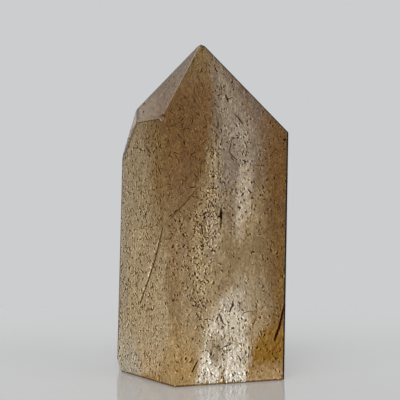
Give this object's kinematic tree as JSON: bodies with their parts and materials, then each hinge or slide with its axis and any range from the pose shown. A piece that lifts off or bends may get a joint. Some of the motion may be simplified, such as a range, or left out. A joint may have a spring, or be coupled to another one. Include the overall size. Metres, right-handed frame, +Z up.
{
  "type": "rutilated quartz point",
  "caption": "Polished smoky quartz point full of fine rutile needles and pale veils, six-sided with a leaning tip, standing on a sawn base.",
  "frame": {"origin": "middle of the footprint's bounding box, on the plane that the sawn base stands on", "axes": "+Z up towards the tip, -Y the side with the broad front face, +X to that face's right"},
  "size_m": [0.043, 0.0346, 0.0799],
  "materials": {
    "quartz": "polished, clouded by needles and veils"
  },
  "bodies": {
    "root": {"quartz_point": "quartz"}
  },
  "joints": []
}
